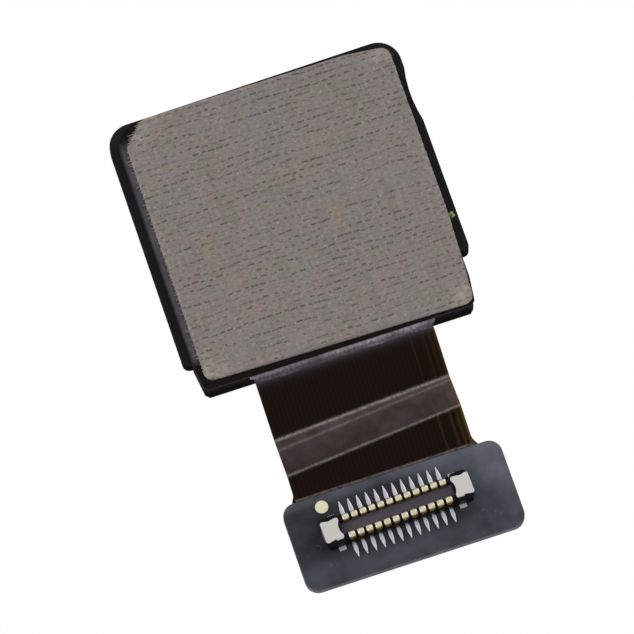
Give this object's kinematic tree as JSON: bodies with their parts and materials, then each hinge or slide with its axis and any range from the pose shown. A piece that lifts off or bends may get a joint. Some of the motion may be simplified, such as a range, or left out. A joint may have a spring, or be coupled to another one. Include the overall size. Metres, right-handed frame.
{
  "type": "camera module",
  "caption": "Square autofocus camera module with a woven tape back, moulded flange, black shield can, moving lens and a short flex ribbon ending in a board-to-board plug.",
  "frame": {"origin": "optical axis on the front face of the shield can", "axes": "+Z along the optical axis from the lens front to the taped back, -Y towards the flex ribbon and plug, +X to the right seen from the back"},
  "size_m": [0.0114, 0.0194, 0.0052],
  "materials": {
    "woven_tape": "matt woven conductive fabric tape",
    "plate_steel": "satin black-nickel stainless sheet",
    "board_laminate": "satin black solder mask on laminate",
    "plug_board_laminate": "matt blue-black solder mask on laminate",
    "moulded_black": "moulded black liquid-crystal polymer, finely textured",
    "sensor_silicon": "polished silicon with colour filters",
    "filter_glass": "coated filter glass",
    "capacitor_ceramic": "fired ceramic with tinned ends",
    "chip_black": "black coated silicon",
    "gold_paste": "cured silver-gold conductive paste",
    "polyimide": "laminated black coverlay over amber polyimide",
    "adhesive_gray": "cured gray adhesive, rough",
    "gold_plate": "gold-plated copper alloy",
    "tin_plate": "satin tin-plated copper alloy",
    "can_steel": "drawn steel with black coating",
    "magnet_nickel": "nickel-plated neodymium magnet",
    "spring_alloy": "etched copper alloy sheet",
    "coil_wire": "enamelled copper winding",
    "carrier_plastic": "moulded dark polymer",
    "barrel_plastic": "moulded matt black polycarbonate",
    "lens_resin": "coated optical resin"
  },
  "bodies": {
    "module": {"back_tape": "woven_tape", "stiffener_plate": "plate_steel", "sensor_board": "board_laminate", "sensor_holder": "moulded_black", "image_sensor": "sensor_silicon", "ir_filter": "filter_glass", "capacitors": "capacitor_ceramic", "driver_chip": "chip_black", "memory_chip": "chip_black", "ground_dab": "gold_paste", "flex_ribbon": "polyimide", "root_bead": "adhesive_gray", "connector_board": "plug_board_laminate", "connector_bead": "adhesive_gray", "locating_pad": "gold_plate", "plug_housing": "moulded_black", "contacts_near": "gold_plate", "contacts_far": "gold_plate", "hold_down_left": "tin_plate", "hold_down_right": "tin_plate", "shield_can": "can_steel", "actuator_base": "moulded_black", "coil_terminals": "tin_plate", "magnets": "magnet_nickel", "front_frame": "carrier_plastic", "front_spring": "spring_alloy", "rear_spring_left": "spring_alloy", "rear_spring_right": "spring_alloy"},
    "lens_group": {"lens_carrier": "carrier_plastic", "coil": "coil_wire", "lens_barrel": "barrel_plastic", "lens_1": "lens_resin", "lens_2": "lens_resin", "lens_3": "lens_resin", "lens_4": "lens_resin", "lens_5": "lens_resin", "spacer_rings": "barrel_plastic", "retainer_ring": "barrel_plastic"}
  },
  "joints": [
    {"name": "focus_slide", "type": "slide", "parent": "module", "child": "lens_group", "axis": [0, 0, -1], "range_m": [0, 0.00035], "stiffness_N_per_m": 30, "springref_m": -0.00015, "deforming": ["front_spring", "rear_spring_left", "rear_spring_right"]}
  ]
}
